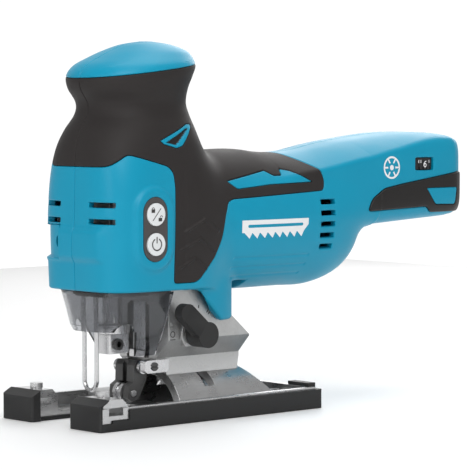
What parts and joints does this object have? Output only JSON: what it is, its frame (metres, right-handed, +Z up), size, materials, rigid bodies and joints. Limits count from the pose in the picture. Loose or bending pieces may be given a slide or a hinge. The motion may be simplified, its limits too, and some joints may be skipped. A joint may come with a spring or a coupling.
{
  "type": "cordless jigsaw",
  "caption": "Barrel-grip cordless jigsaw with a reciprocating blade plunger, orbital roller guide, tilting base, clear dust hood and side buttons, without battery or blade.",
  "frame": {"origin": "middle of the sole's underside", "axes": "+X the cutting direction, +Y the tool's left, +Z up"},
  "size_m": [0.2565, 0.077, 0.185],
  "materials": {
    "housing_plastic": "satin, fine moulded texture",
    "soft_grip": "matt, fine grain",
    "black_plastic": "fine spark-eroded texture",
    "panel_plastic": "smooth matt",
    "button_white": "smooth",
    "cast_aluminium": "die-cast, tumbled",
    "steel": "ground",
    "dark_steel": "blackened",
    "sintered_bronze": "sintered",
    "copper": "enamelled",
    "engineering_plastic": "moulded",
    "smoked_clear": "smoked, clear",
    "lamp_clear": "clear"
  },
  "bodies": {
    "tool_body": {"housing_left": "housing_plastic", "housing_right": "housing_plastic", "grip_left": "soft_grip", "grip_right": "soft_grip", "side_pad_left": "black_plastic", "side_pad_right": "black_plastic", "emblem_left": "housing_plastic", "emblem_right": "housing_plastic", "housing_screws": "steel", "switch_panel_left": "panel_plastic", "switch_panel_right": "panel_plastic", "dial_potentiometer": "engineering_plastic", "opener_pin": "steel", "led_lenses": "lamp_clear", "gear_housing": "cast_aluminium", "gear_housing_front": "cast_aluminium", "crank_bearing": "steel", "plunger_bushes": "sintered_bronze", "wire_guard": "steel", "guard_holder": "black_plastic", "stator": "dark_steel", "stator_coils": "copper", "front_bearing": "steel", "rear_bearing": "steel", "retainer_pin": "steel", "pivot_block": "steel", "pivot_screw": "dark_steel", "clamp_bolt": "dark_steel", "clamp_shoe": "steel", "control_module": "engineering_plastic", "terminal_block": "engineering_plastic", "terminal_blades": "copper"},
    "rotor": {"rotor_core": "dark_steel", "rotor_shaft": "steel", "rotor_fan": "engineering_plastic"},
    "crank": {"crank_gear": "steel", "crank_pin": "steel"},
    "plunger_unit": {"plunger": "steel", "clamp_collar": "steel", "clamp_block": "steel", "clamp_screw": "dark_steel"},
    "retainer": {"retainer_yoke": "dark_steel", "roller_pin": "steel"},
    "roller": {"guide_roller": "steel"},
    "orbit": {"orbit_rod": "steel"},
    "change": {"change_lever": "black_plastic", "change_shaft": "steel"},
    "hood": {"dust_cover": "smoked_clear"},
    "opener": {"opener_lever": "housing_plastic"},
    "lock_left": {"lock_button_left": "button_white"},
    "lock_right": {"lock_button_right": "button_white"},
    "power_left": {"power_button_left": "button_white"},
    "power_right": {"power_button_right": "button_white"},
    "dial": {"speed_dial": "black_plastic"},
    "base": {"base_plate": "cast_aluminium", "base_cover": "black_plastic"}
  },
  "joints": [
    {"name": "rotor_spin", "type": "hinge", "parent": "tool_body", "child": "rotor", "pos_m": [0, 0, 0.0955], "axis": [1, 0, 0], "continuous": true},
    {"name": "crank_spin", "type": "hinge", "parent": "tool_body", "child": "crank", "pos_m": [0, 0, 0.1167], "axis": [1, 0, 0], "continuous": true},
    {"name": "plunger_stroke", "type": "slide", "parent": "tool_body", "child": "plunger_unit", "axis": [0, 0, 1], "range_m": [-0.013, 0.013]},
    {"name": "retainer_swing", "type": "hinge", "parent": "tool_body", "child": "retainer", "pos_m": [0.022, 0, 0.025], "axis": [0, -1, 0], "range_deg": [0, 10]},
    {"name": "orbit_push", "type": "slide", "parent": "tool_body", "child": "orbit", "axis": [0, 0, 1], "range_m": [-0.0012, 0]},
    {"name": "roller_spin", "type": "hinge", "parent": "retainer", "child": "roller", "pos_m": [0.0266, 0, 0.0124], "axis": [0, 1, 0], "continuous": true},
    {"name": "change_turn", "type": "hinge", "parent": "tool_body", "child": "change", "pos_m": [0.0008, 0.03, 0.0414], "axis": [0, -1, 0], "range_deg": [0, 131]},
    {"name": "hood_slide", "type": "slide", "parent": "tool_body", "child": "hood", "axis": [0, 0, -1], "range_m": [0, 0.002]},
    {"name": "opener_turn", "type": "hinge", "parent": "tool_body", "child": "opener", "pos_m": [0.046, -0.0272, 0.088], "axis": [0, 0, -1], "range_deg": [0, 85]},
    {"name": "lock_left_press", "type": "slide", "parent": "tool_body", "child": "lock_left", "axis": [0, -1, 0], "range_m": [0, 0.0008], "stiffness_N_per_m": 600, "springref_m": -0.0012},
    {"name": "power_left_press", "type": "slide", "parent": "tool_body", "child": "power_left", "axis": [0, -1, 0], "range_m": [0, 0.0008], "stiffness_N_per_m": 600, "springref_m": -0.0012},
    {"name": "lock_right_press", "type": "slide", "parent": "tool_body", "child": "lock_right", "axis": [0, 1, 0], "range_m": [0, 0.0008], "stiffness_N_per_m": 600, "springref_m": -0.0012},
    {"name": "power_right_press", "type": "slide", "parent": "tool_body", "child": "power_right", "axis": [0, 1, 0], "range_m": [0, 0.0008], "stiffness_N_per_m": 600, "springref_m": -0.0012},
    {"name": "dial_turn", "type": "hinge", "parent": "tool_body", "child": "dial", "pos_m": [-0.153, 0.0198, 0.1224], "axis": [0, 0, 1], "range_deg": [-270, 0]},
    {"name": "base_tilt", "type": "hinge", "parent": "tool_body", "child": "base", "pos_m": [0, 0, 0], "axis": [1, 0, 0], "range_deg": [-45, 45]}
  ],
  "couplings": [
    {"joint": "crank_spin", "follows": "rotor_spin", "ratio": -0.20455},
    {"joint": "orbit_push", "follows": "retainer_swing", "m_per_rad": -0.00687}
  ]
}
